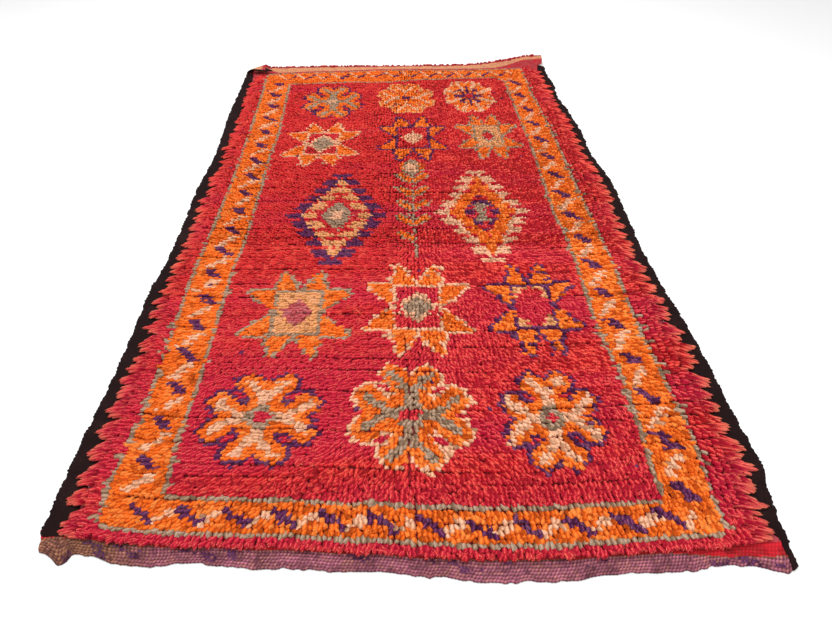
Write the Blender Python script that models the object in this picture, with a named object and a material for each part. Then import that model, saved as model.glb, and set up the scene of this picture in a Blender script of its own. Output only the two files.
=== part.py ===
"""A Moroccan pile rug laid out flat, with one far corner turned back over.

The rug is woven in one piece. Its yarn systems are four closed solids: the flat
ground weave, which shows bare as a woven band at both ends, the shaggy pile on it,
and a goat-hair edge band along each long side.

The plan runs along Y, the near end at -Y. The origin is the middle of the rug's
box, on the surface that the rug lies on. Sizes are in metres.
"""
import math
import random
from collections import namedtuple

import bmesh
import bpy
from mathutils import Vector

# Thicknesses and clearances
WEAVE_THICK = 0.0030
EDGE_BAND_THICK = 0.0052
PILE_TOP = 0.0150
PARTED = 0.0003

# Edge bands of goat hair, with rounded sides and ends that taper
EDGE_BAND_ROUND = 0.005
EDGE_BAND_CORNER = 0.002
EDGE_BAND_SIDE_HIGH = 0.0018
EDGE_BAND_END_FULL = 0.72
EDGE_BAND_LEAST_THICK = 0.55
TAIL_LONG = 0.038
TAIL_MIDDLE_FULL = 0.55
TAIL_END_FULL = 0.28
RIGHT_BAND_STOPS = 1.425

# Locks of the pile's rim, which lie over the edge bands
LOCKS_A_SIDE = 47
LOCK_STATIONS = ("notch", "flank", "tip", "flank")
LOCK_TIP_IN = 0.024
LOCK_FLANK_IN = 0.040
LOCK_NOTCH_IN = 0.064
LOCK_UNEVEN = 0.010
LOCK_TIP_THICK = 0.0024
LOCK_NOTCH_THICK = 0.0060
SHOULDER_IN = 0.088
PILE_FOOT_IN = 0.135

# Lumps in the pile
PILE_COLUMNS = 12
PILE_HALF_WIDE = 0.80
LUMP_HIGH = 0.0026
SWELL_HIGH = 0.0018
PARTING_DEEP = 0.0035
PARTING_ENDS_AT = -0.66
PARTING_FADE = 0.15
PARTING_HALF_WIDE = 0.07
PRESSED_TOP = 0.0112
PRESSED_TO_X = -0.665
PRESSED_FROM_Y = 1.305
PRESSED_SLOPE = 0.025

# The far left corner, turned back over on a slanting crease
CREASE_X = -0.8565
CREASE_Y = 1.322
CREASE_RADIUS = 0.015
CREASE_TURN = math.pi + 0.12

# The far right corner, which curls up
CURL_HIGH = 0.033
CURL_FROM_X = 0.36
CURL_TO_X = 0.76
CURL_FROM_Y = 1.385
CURL_TO_Y = 1.510

# The near left corner, where the end band laps round the edge band's end
LAP_STEP = 0.006
LAP_ROWS = 3

# The near right corner, where the edge band narrows beside the end band
NARROW_LONG = 0.054
NARROW_ROWS = 3

# Sides of the ground weave, and where its points draw together for the crease
WEAVE_LEFT = -0.850
WEAVE_RIGHT = 0.815
CLOSE_FROM_Y = 1.300
OPEN_ROWS = 20
CLOSE_ROWS = 20
WEAVE_COLUMNS = ((0.075, 8), (0.92, 15), (1.0, 3))

# Yarn colours
WEAVE_COLOUR = (0.36, 0.14, 0.16)
PILE_COLOUR = (0.55, 0.02, 0.035)
GOAT_HAIR_COLOUR = (0.016, 0.010, 0.010)

# Long edges of the rug, and how wide the edge band is on each of them
Side = namedtuple("Side", "along left right left_band right_band")
SIDES = (
    Side(-1.520, -0.8470, 0.8300, 0.068, 0.017),
    Side(-1.465, -0.8520, 0.8360, 0.068, 0.017),
    Side(-1.440, -0.8580, 0.8380, 0.068, 0.018),
    Side(-1.390, -0.8650, 0.8410, 0.068, 0.064),
    Side(-1.355, -0.8685, 0.8465, 0.068, 0.068),
    Side(-1.215, -0.8645, 0.8685, 0.068, 0.070),
    Side(-1.065, -0.8615, 0.8635, 0.067, 0.068),
    Side(-0.915, -0.8545, 0.8655, 0.066, 0.068),
    Side(-0.715, -0.8525, 0.8615, 0.066, 0.066),
    Side(-0.515, -0.8575, 0.8465, 0.066, 0.064),
    Side(-0.315, -0.8415, 0.8405, 0.064, 0.062),
    Side(-0.115, -0.8395, 0.8485, 0.064, 0.064),
    Side(0.130, -0.8445, 0.8565, 0.064, 0.066),
    Side(0.430, -0.8295, 0.8295, 0.062, 0.060),
    Side(0.630, -0.8355, 0.8365, 0.064, 0.060),
    Side(0.830, -0.8455, 0.8235, 0.066, 0.056),
    Side(1.030, -0.8445, 0.8045, 0.064, 0.052),
    Side(1.180, -0.8425, 0.8145, 0.058, 0.052),
    Side(1.310, -0.8425, 0.8045, 0.044, 0.044),
    Side(1.520, -0.8535, 0.8100, 0.038, 0.038),
)

End = namedtuple("End", "across weave pile")
NEAR_END = (
    End(-0.870, -1.394, -1.374),
    End(-0.845, -1.412, -1.374),
    End(-0.808, -1.442, -1.373),
    End(-0.775, -1.420, -1.376),
    End(-0.745, -1.424, -1.380),
    End(-0.680, -1.446, -1.393),
    End(-0.600, -1.454, -1.402),
    End(-0.530, -1.447, -1.409),
    End(-0.340, -1.467, -1.419),
    End(-0.120, -1.481, -1.438),
    End(0.030, -1.498, -1.453),
    End(0.155, -1.515, -1.463),
    End(0.300, -1.516, -1.466),
    End(0.420, -1.504, -1.461),
    End(0.580, -1.503, -1.455),
    End(0.680, -1.490, -1.453),
    End(0.720, -1.494, -1.447),
    End(0.800, -1.512, -1.443),
    End(0.850, -1.494, -1.443),
)
FAR_END = (
    End(-0.870, 1.474, 1.330),
    End(-0.720, 1.468, 1.350),
    End(-0.390, 1.473, 1.367),
    End(0.000, 1.471, 1.384),
    End(0.330, 1.472, 1.374),
    End(0.480, 1.481, 1.375),
    End(0.610, 1.491, 1.378),
    End(0.730, 1.511, 1.386),
    End(0.800, 1.516, 1.392),
    End(0.870, 1.512, 1.392),
)


def mix(start, end, share):
    return start + (end - start) * share


def ease(share):
    """Share between 0 and 1 with a soft start and a soft stop."""
    share = min(max(share, 0.0), 1.0)
    return share * share * (3.0 - 2.0 * share)


def read(table, column, place):
    """A column of a table at a place given in its first column, eased between rows."""
    if place <= table[0][0]:
        return getattr(table[0], column)
    for before, after in zip(table, table[1:]):
        if place <= after[0]:
            share = ease((place - before[0]) / (after[0] - before[0]))
            return mix(getattr(before, column), getattr(after, column), share)
    return getattr(table[-1], column)


def ripple(along, side):
    """Small unevenness of a long edge."""
    return 0.0016 * math.sin(71.0 * along + 2.0 * side) + 0.0011 * math.sin(113.0 * along - side)


def left_edge(along):
    return read(SIDES, "left", along) + ripple(along, 0.0)


def right_edge(along):
    return read(SIDES, "right", along) + ripple(along, 1.0)


def laid(across, along, height):
    """Where a point of the rug lies, height above the rug's underside.

    Past the crease's start line the rug rolls over and comes back on itself.
    Elsewhere it is flat, but for the far right corner, which curls up.
    """
    outward = Vector((-1.0, 1.0, 0.0)).normalized()
    up = Vector((0.0, 0.0, 1.0))
    flat = Vector((across, along, 0.0))
    past = (flat - Vector((CREASE_X, CREASE_Y, 0.0))).dot(outward)
    if past <= 0.0:
        curl = ease((across - CURL_FROM_X) / (CURL_TO_X - CURL_FROM_X))
        curl *= ease((along - CURL_FROM_Y) / (CURL_TO_Y - CURL_FROM_Y))
        return flat + up * (height + CURL_HIGH * curl)
    turn = min(past / CREASE_RADIUS, CREASE_TURN)
    run = past - turn * CREASE_RADIUS
    reach = (CREASE_RADIUS - height) * math.sin(turn) + run * math.cos(turn)
    rise = CREASE_RADIUS - (CREASE_RADIUS - height) * math.cos(turn) + run * math.sin(turn)
    return flat + outward * (reach - past) + up * rise


def spread(*stops):
    """Places from stop to stop, each stop after the first being (place, steps to it)."""
    places = [stops[0]]
    for place, steps in stops[1:]:
        begin = places[-1]
        places += [mix(begin, place, step / steps) for step in range(1, steps + 1)]
    return places


def closed_sheet(name, rows, material):
    """One closed solid from rows of (top, bottom) point pairs."""
    mesh = bmesh.new()
    tops = [[mesh.verts.new(top) for top, _ in row] for row in rows]
    bottoms = [[mesh.verts.new(bottom) for _, bottom in row] for row in rows]
    for row in range(len(rows) - 1):
        for column in range(len(rows[0]) - 1):
            mesh.faces.new((tops[row][column], tops[row][column + 1],
                            tops[row + 1][column + 1], tops[row + 1][column]))
            mesh.faces.new((bottoms[row + 1][column], bottoms[row + 1][column + 1],
                            bottoms[row][column + 1], bottoms[row][column]))
    rim = rim_of(tops)
    under = rim_of(bottoms)
    for here in range(len(rim)):
        after = (here + 1) % len(rim)
        mesh.faces.new((rim[here], under[here], under[after], rim[after]))
    return finished(name, mesh, material)


def rim_of(grid):
    """The points round a grid of points, in order, starting along its first row."""
    right = [row[-1] for row in grid[1:-1]]
    left = [row[0] for row in grid[1:-1]]
    return grid[0] + right + grid[-1][::-1] + left[::-1]


def finished(name, mesh, material):
    """The object made from a mesh, with its faces facing out."""
    bmesh.ops.triangulate(mesh, faces=mesh.faces)
    bmesh.ops.recalc_face_normals(mesh, faces=mesh.faces)
    data = bpy.data.meshes.new(name)
    mesh.to_mesh(data)
    mesh.free()
    data.materials.append(material)
    data.shade_smooth()
    data.set_sharp_from_angle(angle=math.radians(50.0))
    piece = bpy.data.objects.new(name, data)
    bpy.context.scene.collection.objects.link(piece)
    return piece


def yarn(name, colour, roughness):
    """A plain matt yarn material."""
    material = bpy.data.materials.new(name)
    material.use_nodes = True
    shader = material.node_tree.nodes["Principled BSDF"]
    shader.inputs["Base Color"].default_value = (*colour, 1.0)
    shader.inputs["Roughness"].default_value = roughness
    shader.inputs["Metallic"].default_value = 0.0
    return material


def stations_along(nominal):
    """Places along the weave at one nominal place across it, from end to end.

    The first rows are the near end band, up to the step where its lap ends. The last
    ones are close together for the crease and the curled corner.
    """
    near = read(NEAR_END, "weave", nominal)
    lap_end = read(NEAR_END, "pile", nominal)
    far = read(FAR_END, "weave", nominal)
    return spread(near, (lap_end - LAP_STEP, LAP_ROWS - 1), (lap_end, 1),
                  (lap_end + NARROW_LONG, NARROW_ROWS), (CLOSE_FROM_Y, OPEN_ROWS),
                  (far, CLOSE_ROWS))


def ground_weave():
    """The flat weave from end to end, with the bare band at each end.

    It lies between the edge bands, but laps round the left one's near end.
    """
    strips = []
    for column in spread(0.0, *WEAVE_COLUMNS):
        strip = []
        places = stations_along(mix(WEAVE_LEFT, WEAVE_RIGHT, column))
        for row, along in enumerate(places):
            left = left_edge(along)
            if row >= LAP_ROWS:
                left += read(SIDES, "left_band", along) + PARTED
            right = right_edge(along) - read(SIDES, "right_band", along) - PARTED
            across = mix(left, right, column)
            strip.append((laid(across, along, WEAVE_THICK), laid(across, along, 0.0)))
        strips.append(strip)
    return closed_sheet("ground_weave", strips, yarn("flat weave", WEAVE_COLOUR, 0.9))


def band_section(wide):
    """Cross-section of an edge band, as (inward from the rug's edge, height) points."""
    return (
        (0.0, EDGE_BAND_SIDE_HIGH),
        (EDGE_BAND_ROUND, 0.0),
        (wide - EDGE_BAND_CORNER, 0.0),
        (wide, EDGE_BAND_SIDE_HIGH),
        (wide - EDGE_BAND_CORNER, EDGE_BAND_THICK),
        (EDGE_BAND_ROUND, EDGE_BAND_THICK),
    )


def edge_band(side, edge, inward, places, tail):
    """A goat-hair band along one long side, with a loose tapering tail past its far end."""
    name = "edge_band_" + side
    stop = places[-1]
    stations = [(places[0], EDGE_BAND_END_FULL)] + [(place, 1.0) for place in places[1:]]
    if tail:
        stations += [(stop + tail / 2.0, TAIL_MIDDLE_FULL), (stop + tail, TAIL_END_FULL)]
    mesh = bmesh.new()
    rings = []
    for along, full in stations:
        wide = read(SIDES, side + "_band", along)
        flatter = mix(EDGE_BAND_LEAST_THICK, 1.0, full)
        ring = []
        for inside, height in band_section(wide):
            across = edge(min(along, stop)) + inward * mix(wide / 2.0, inside, full)
            ring.append(mesh.verts.new(laid(across, along, height * flatter)))
        rings.append(ring)
    for ring, after in zip(rings, rings[1:]):
        for corner in range(len(ring)):
            beside = (corner + 1) % len(ring)
            mesh.faces.new((ring[corner], ring[beside], after[beside], after[corner]))
    mesh.faces.new(rings[0])
    mesh.faces.new(rings[-1])
    return finished(name, mesh, yarn(side + " goat hair", GOAT_HAIR_COLOUR, 0.75))


def pile_height(across, along, chance):
    """Height of the pile's lumpy top above the rug's underside."""
    lump = LUMP_HIGH * chance.uniform(-1.0, 1.0)
    swell = SWELL_HIGH * math.sin(9.0 * across + 1.3) * math.sin(5.5 * along)
    parting = PARTING_DEEP * ease((PARTING_ENDS_AT - along) / PARTING_FADE)
    parting *= ease(1.0 - abs(across) / PARTING_HALF_WIDE)
    top = PILE_TOP + lump + swell - parting
    pressed = ease((PRESSED_TO_X - across) / PRESSED_SLOPE)
    pressed *= ease((along - PRESSED_FROM_Y) / PRESSED_SLOPE)
    return mix(top, PRESSED_TOP, pressed)


def lock_rim(station, chance):
    """How far in from the rug's edge a lock's outline lies, and how thick it is there."""
    kind = LOCK_STATIONS[station % len(LOCK_STATIONS)]
    uneven = LOCK_UNEVEN * chance.uniform(-1.0, 1.0)
    if kind == "tip":
        return LOCK_TIP_IN + uneven, LOCK_TIP_THICK
    if kind == "notch":
        return LOCK_NOTCH_IN + uneven / 2.0, LOCK_NOTCH_THICK
    return LOCK_FLANK_IN + uneven / 2.0, mix(LOCK_TIP_THICK, LOCK_NOTCH_THICK, 0.5)


def pile_plan(station, chance):
    """One row of the pile, as (from the left, from the right, share, foot, thickness).

    A place is a distance in from one side, or a share of the way between the feet. The
    thickness is None where the lumpy top gives it.
    """
    over_band = EDGE_BAND_THICK + PARTED
    on_ground = WEAVE_THICK + PARTED
    left_in, left_thick = lock_rim(station, chance)
    right_in, right_thick = lock_rim(station + len(LOCK_STATIONS) // 2, chance)
    plan = [(left_in, None, None, over_band, left_thick),
            (SHOULDER_IN, None, None, over_band, None)]
    for share in spread(0.0, (1.0, PILE_COLUMNS)):
        plan.append((None, None, share, on_ground, None))
    return plan + [(None, SHOULDER_IN, None, over_band, None),
                   (None, right_in, None, over_band, right_thick)]


def pile():
    """The shag: a lumpy slab whose rim is cut into locks that lie over the edge bands."""
    chance = random.Random(388)
    stations = LOCKS_A_SIDE * len(LOCK_STATIONS)
    rows = []
    for station in range(stations + 1):
        plan = pile_plan(station, chance)
        row = []
        for place, (from_left, from_right, share, foot, thick) in enumerate(plan):
            nominal = mix(-PILE_HALF_WIDE, PILE_HALF_WIDE, place / (len(plan) - 1))
            along = mix(read(NEAR_END, "pile", nominal), read(FAR_END, "pile", nominal),
                        station / stations)
            left = left_edge(along)
            right = right_edge(along)
            if share is not None:
                across = mix(left + PILE_FOOT_IN, right - PILE_FOOT_IN, share)
            elif from_left is not None:
                across = left + from_left
            else:
                across = right - from_right
            top = foot + thick if thick else pile_height(across, along, chance)
            row.append((laid(across, along, top), laid(across, along, foot)))
        rows.append(row)
    return closed_sheet("pile", rows, yarn("red wool pile", PILE_COLOUR, 0.85))


def clear_scene():
    for old in list(bpy.data.objects):
        bpy.data.objects.remove(old, do_unlink=True)


def main():
    clear_scene()
    ground_weave()
    pile()
    left_places = stations_along(WEAVE_LEFT)[LAP_ROWS:]
    right_places = [place for place in stations_along(WEAVE_RIGHT) if place <= RIGHT_BAND_STOPS]
    edge_band("left", left_edge, 1.0, left_places, TAIL_LONG)
    edge_band("right", right_edge, -1.0, right_places, 0.0)


main()
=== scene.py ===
"""Looks of a Moroccan pile rug, laid flat with one far corner turned back over.

The rug is knotted row by row, as it is made: each tuft of wool is a small mesh of its
own, rooted in the ground weave and coloured from a chart. Sizes are in metres. A place
on the rug is given as (across, along), the near end at the least along, and laid() puts
it where the rug lies.
"""
import math
from collections import namedtuple

import bpy
import numpy as np
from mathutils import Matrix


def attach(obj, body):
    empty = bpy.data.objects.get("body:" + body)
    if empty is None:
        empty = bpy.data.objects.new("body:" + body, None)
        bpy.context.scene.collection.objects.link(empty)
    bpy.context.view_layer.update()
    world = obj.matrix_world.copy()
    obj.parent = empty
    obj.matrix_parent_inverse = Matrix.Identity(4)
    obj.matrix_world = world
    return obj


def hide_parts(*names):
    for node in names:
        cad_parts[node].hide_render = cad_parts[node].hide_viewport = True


bl_info = {
    "name": "Moroccan Rug",
    "version": (1, 0, 0),
    "blender": (4, 5, 0),
    "location": "View3D > Sidebar > Rug",
    "description": "Knots, weaves and lights a shaggy Moroccan rug",
    "category": "Add Mesh",
}

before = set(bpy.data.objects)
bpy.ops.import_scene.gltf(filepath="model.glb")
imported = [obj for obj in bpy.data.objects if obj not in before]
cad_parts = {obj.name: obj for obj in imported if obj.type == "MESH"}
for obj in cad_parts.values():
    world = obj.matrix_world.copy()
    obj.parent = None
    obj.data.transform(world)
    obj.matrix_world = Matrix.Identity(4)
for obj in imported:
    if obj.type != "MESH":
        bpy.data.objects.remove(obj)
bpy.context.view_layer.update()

# Size of the ground weave as one flat sheet, and where a row of places across it starts and
# stops before it is fitted to the rug's sides
GROUND_LEFT = -0.850
GROUND_RIGHT = 0.815

# Heights over the rug's underside: the cloth's top, the end bands' foot and their top under
# the pile, the edge bands, and the pile where it stands free and where it is pressed
CLOTH_TOP = 0.0026
BEADS_FOOT = 0.0010
UNDER_PILE_TOP = 0.0016
EDGE_BAND_THICK = 0.0052
EDGE_BAND_SIDE_HIGH = 0.0018
PILE_TOP = 0.0150
PRESSED_TOP = 0.0112

# Where the turned corner presses the pile
PRESSED_TO_X = -0.665
PRESSED_FROM_Y = 1.305
PRESSED_SLOPE = 0.025

# The far left corner, turned back over on a slanting crease
CREASE_X = -0.8565
CREASE_Y = 1.322
CREASE_RADIUS = 0.015
CREASE_TURN = math.pi + 0.12
CREASE_ROWS_FROM = 1.300
DIAGONAL = math.sqrt(0.5)

# The far right corner, which curls up
CURL_HIGH = 0.033
CURL_FROM_X = 0.36
CURL_TO_X = 0.76
CURL_FROM_Y = 1.385
CURL_TO_Y = 1.510

# How far the near end band laps round the left edge band
LAP_LONG = 0.006

# Half the floor's width, and in degrees how far the camera is tilted up from looking straight
# down and turned aside
FLOOR_HALF = 9.0
CAMERA_TILT = 48.54
CAMERA_ASIDE = -1.92

# The edge bands: where they stop, the left one's tapering tail, how much of it shows on the
# turned corner, how far the right one's ends are rounded, and the gap to the cloth beside
LEFT_BAND_STOPS = 1.474
RIGHT_BAND_STOPS = 1.425
TAIL_LONG = 0.038
TAIL_END_FULL = 0.28
FLAP_BAND_SHOWS = 0.012
ROUNDED_BY = 0.016
BAND_GAP = 0.0003
BAND_PROFILE = (0.0, 0.05, 0.14, 0.24, 0.36, 0.50, 0.68, 0.86, 1.0)

# Sides of the rug and widths of its edge bands, by place along the rug
Side = namedtuple("Side", "along left right left_band right_band")
SIDES = (
    Side(-1.520, -0.8300, 0.8300, 0.068, 0.017),
    Side(-1.465, -0.8300, 0.8360, 0.068, 0.017),
    Side(-1.440, -0.8340, 0.8380, 0.068, 0.018),
    Side(-1.390, -0.8560, 0.8410, 0.068, 0.064),
    Side(-1.355, -0.8650, 0.8465, 0.068, 0.068),
    Side(-1.215, -0.8645, 0.8685, 0.068, 0.070),
    Side(-1.065, -0.8615, 0.8635, 0.067, 0.068),
    Side(-0.915, -0.8545, 0.8655, 0.066, 0.068),
    Side(-0.715, -0.8525, 0.8615, 0.066, 0.066),
    Side(-0.515, -0.8575, 0.8465, 0.066, 0.064),
    Side(-0.315, -0.8415, 0.8405, 0.064, 0.062),
    Side(-0.115, -0.8395, 0.8485, 0.064, 0.064),
    Side(0.130, -0.8445, 0.8565, 0.064, 0.066),
    Side(0.430, -0.8295, 0.8295, 0.062, 0.060),
    Side(0.630, -0.8355, 0.8365, 0.064, 0.060),
    Side(0.830, -0.8455, 0.8235, 0.066, 0.056),
    Side(1.030, -0.8445, 0.8045, 0.064, 0.052),
    Side(1.180, -0.8425, 0.8145, 0.058, 0.052),
    Side(1.310, -0.8425, 0.8045, 0.044, 0.044),
    Side(1.520, -0.8535, 0.8100, 0.038, 0.038),
)

# Where the weave and the pile end, by place across the rug
End = namedtuple("End", "across weave pile")
NEAR_END = (
    End(-0.870, -1.394, -1.374),
    End(-0.845, -1.412, -1.374),
    End(-0.808, -1.442, -1.373),
    End(-0.775, -1.420, -1.376),
    End(-0.745, -1.424, -1.380),
    End(-0.680, -1.446, -1.393),
    End(-0.600, -1.454, -1.402),
    End(-0.530, -1.447, -1.409),
    End(-0.340, -1.467, -1.419),
    End(-0.120, -1.481, -1.438),
    End(0.030, -1.498, -1.453),
    End(0.155, -1.515, -1.463),
    End(0.300, -1.516, -1.466),
    End(0.420, -1.504, -1.461),
    End(0.580, -1.503, -1.455),
    End(0.680, -1.490, -1.453),
    End(0.720, -1.494, -1.447),
    End(0.800, -1.512, -1.443),
    End(0.850, -1.494, -1.443),
)
FAR_END = (
    End(-0.870, 1.474, 1.330),
    End(-0.720, 1.468, 1.350),
    End(-0.390, 1.473, 1.367),
    End(0.000, 1.471, 1.384),
    End(0.330, 1.472, 1.374),
    End(0.480, 1.481, 1.375),
    End(0.610, 1.491, 1.378),
    End(0.730, 1.511, 1.386),
    End(0.800, 1.516, 1.392),
    End(0.870, 1.512, 1.392),
)

# Where the pale lines on both sides of the orange border run, down each side of the rug,
# and where the inner one runs across its far end
Guide = namedtuple("Guide", "along left_outer left_inner right_inner right_outer")
GUIDES = (
    Guide(-1.350, -0.737, -0.610, 0.588, 0.703),
    Guide(-1.250, -0.742, -0.603, 0.583, 0.710),
    Guide(-1.120, -0.731, -0.608, 0.590, 0.718),
    Guide(-0.950, -0.722, -0.600, 0.592, 0.707),
    Guide(-0.720, -0.723, -0.598, 0.573, 0.698),
    Guide(-0.420, -0.726, -0.596, 0.580, 0.707),
    Guide(-0.240, -0.718, -0.583, 0.577, 0.701),
    Guide(-0.080, -0.712, -0.580, 0.563, 0.698),
    Guide(0.150, -0.704, -0.576, 0.568, 0.692),
    Guide(0.400, -0.704, -0.580, 0.569, 0.692),
    Guide(0.620, -0.705, -0.569, 0.565, 0.685),
    Guide(0.860, -0.706, -0.574, 0.559, 0.678),
    Guide(1.080, -0.710, -0.580, 0.553, 0.667),
    Guide(1.310, -0.718, -0.588, 0.548, 0.665),
)
FarLine = namedtuple("FarLine", "across inner")
FAR_LINE = (
    FarLine(-0.590, 1.200),
    FarLine(-0.110, 1.211),
    FarLine(0.140, 1.237),
    FarLine(0.320, 1.250),
    FarLine(0.500, 1.244),
    FarLine(0.560, 1.205),
)

# Knots in a row, from the left: red margin, pale line, border, pale line, field and back
MARGIN_KNOTS = 3
BORDER_KNOTS = 10
FIELD_KNOTS = 95
FIRST_KNOT_X = -0.775
LAST_KNOT_X = 0.755
KNOT_WIDE = 0.0126
MARGIN_IN = 0.088

# Rows of knots from the near end, those of the near pale line and border, and the rows
# counted back from the far end between which the far border has its marks
KNOT_ROWS = 245
NEAR_LINE_ROW = 2
NEAR_BORDER_ROWS = 7
FAR_MARKS_START = 9
FAR_MARKS_END = 2

# Height of a tuft's root and least height of any of it, and how far its root stands back
# from its knot, as a share of its reach
ROOT_HIGH = 0.0028
LEAST_HIGH = 0.0008
ROOT_BACK = 0.42

# Shares of the knots with a second, looser tuft, and of those with a stray purple one
LOOSE_SHARE = 0.11
STRAY_SHARE = 0.0006

# The fold line down the middle of the near half, from which tufts stand aside
PARTING_X = -0.012
PARTING_HALF_WIDE = 0.022
PARTING_ASIDE = 0.0026
PARTING_ENDS_AT = -0.66
PARTING_FADE = 0.15

# Colours of the chart
RED, ORANGE, PEACH, AMBER, BEIGE, PURPLE, ROSE = range(7)
YARN_NAMES = ("red", "orange", "peach", "amber", "beige", "purple", "rose")

# Locks at the pile's rim
LOCKS_A_SIDE = 45
TIPS_A_LOCK = 3
STRANDS_A_TIP = 7

# How finely tufts are made: the corners round one, the rows of full form, and the most of
# them in one piece
TUFT_SIDES = 5
NEAR_ROWS = 100
MOST_TUFTS_A_PIECE = 6800

# Seeds of the chances of the end bands and of the edge bands
NEAR_BAND_SEED = 71
FAR_BAND_SEED = 72
EDGE_BAND_SEED = 81


def mix(start, end, share):
    return start + (end - start) * share


def ease(share):
    """Share between 0 and 1 with a soft start and a soft stop."""
    share = np.clip(share, 0.0, 1.0)
    return share * share * (3.0 - 2.0 * share)


def read(table, column, place):
    """A column of a table at places given in its first column, eased between rows."""
    firsts = np.array([row[0] for row in table])
    values = np.array([getattr(row, column) for row in table])
    place = np.clip(place, firsts[0], firsts[-1])
    after = np.clip(np.searchsorted(firsts, place), 1, len(table) - 1)
    share = ease((place - firsts[after - 1]) / (firsts[after] - firsts[after - 1]))
    return mix(values[after - 1], values[after], share)


def ripple(along, side):
    """Small unevenness of a long edge."""
    return 0.0016 * np.sin(71.0 * along + 2.0 * side) + 0.0011 * np.sin(113.0 * along - side)


def left_edge(along):
    return read(SIDES, "left", along) + ripple(along, 0.0)


def right_edge(along):
    return read(SIDES, "right", along) + ripple(along, 1.0)


def past_crease(across, along):
    """How far places lie past the far left corner's crease, on the turned side."""
    return (along - CREASE_Y - across + CREASE_X) * DIAGONAL


def laid(across, along, height):
    """Where points of the rug lie, height above the rug's underside."""
    across, along, height = np.broadcast_arrays(across, along, height)
    past = past_crease(across, along)
    turn = np.clip(past / CREASE_RADIUS, 0.0, CREASE_TURN)
    run = np.maximum(past, 0.0) - turn * CREASE_RADIUS
    reach = (CREASE_RADIUS - height) * np.sin(turn) + run * np.cos(turn)
    rise = CREASE_RADIUS - (CREASE_RADIUS - height) * np.cos(turn) + run * np.sin(turn)
    rolled = past > 0.0
    shift = np.where(rolled, reach - past, 0.0) * DIAGONAL
    curl = ease((across - CURL_FROM_X) / (CURL_TO_X - CURL_FROM_X))
    curl = curl * ease((along - CURL_FROM_Y) / (CURL_TO_Y - CURL_FROM_Y))
    up = np.where(rolled, rise, height + CURL_HIGH * curl)
    return np.stack([across - shift, along + shift, up], axis=-1)


def add_piece(name, points, faces, material):
    """An object of the rug from an array of points and an array of like faces."""
    data = bpy.data.meshes.new(name)
    data.vertices.add(len(points))
    data.vertices.foreach_set("co", np.ascontiguousarray(points, np.float32).ravel())
    data.loops.add(faces.size)
    data.loops.foreach_set("vertex_index", np.ascontiguousarray(faces, np.int32).ravel())
    data.polygons.add(len(faces))
    data.polygons.foreach_set("loop_start", np.arange(0, faces.size, faces.shape[1]))
    data.polygons.foreach_set("use_smooth", np.full(len(faces), True))
    data.update(calc_edges=True)
    data.validate()
    data.materials.append(material)
    piece = bpy.data.objects.new(name, data)
    bpy.context.scene.collection.objects.link(piece)
    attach(piece, "root")
    return piece


def write_yarn(piece, name, values):
    """Keep three numbers for each point, which the materials read by name."""
    layer = piece.data.attributes.new(name, "FLOAT_VECTOR", "POINT")
    layer.data.foreach_set("vector", np.ascontiguousarray(values, np.float32).ravel())


def slab_faces(rows, columns):
    """Quads of a closed slab whose points are a top grid, then a bottom grid."""
    grid = np.arange(rows * columns).reshape(rows, columns)
    quads = np.stack([grid[:-1, :-1], grid[:-1, 1:], grid[1:, 1:], grid[1:, :-1]], axis=-1)
    top = quads.reshape(-1, 4)
    bottom = top[:, ::-1] + rows * columns
    rim = np.concatenate([grid[0, :-1], grid[:-1, -1], grid[-1, :0:-1], grid[:0:-1, 0]])
    after = np.roll(rim, -1)
    under = rows * columns
    sides = np.stack([after, rim, rim + under, after + under], axis=-1)
    return np.concatenate([top, bottom, sides])


def slab(name, across, along, top, bottom, material):
    """A closed thin slab of cloth over a grid of places, rows running along the rug."""
    rows, columns = across.shape
    upper = laid(across, along, top).reshape(-1, 3)
    lower = laid(across, along, bottom).reshape(-1, 3)
    piece = add_piece(name, np.concatenate([upper, lower]), slab_faces(rows, columns), material)
    flat = np.stack([across, along, np.zeros_like(across)], axis=-1).reshape(-1, 3)
    write_yarn(piece, "flat_place", np.concatenate([flat, flat]))
    return piece


class Value:
    """One output of a shader node, on which Python arithmetic adds Math nodes."""

    def __init__(self, shader, socket):
        self.shader = shader
        self.socket = socket

    def _math(self, operation, left, right=0.0):
        return self.shader.node("ShaderNodeMath", {"operation": operation}, {0: left, 1: right})

    def __add__(self, other):
        return self._math("ADD", self, other)

    def __radd__(self, other):
        return self._math("ADD", other, self)

    def __sub__(self, other):
        return self._math("SUBTRACT", self, other)

    def __rsub__(self, other):
        return self._math("SUBTRACT", other, self)

    def __mul__(self, other):
        return self._math("MULTIPLY", self, other)

    def __rmul__(self, other):
        return self._math("MULTIPLY", other, self)

    def sine(self):
        return self._math("SINE", self)

    def between(self, low, high):
        """0 up to low, 1 from high on, and a straight slope between them."""
        settings = {"clamp": True}
        return self.shader.node("ShaderNodeMapRange", settings, {0: self, 1: low, 2: high})


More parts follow.
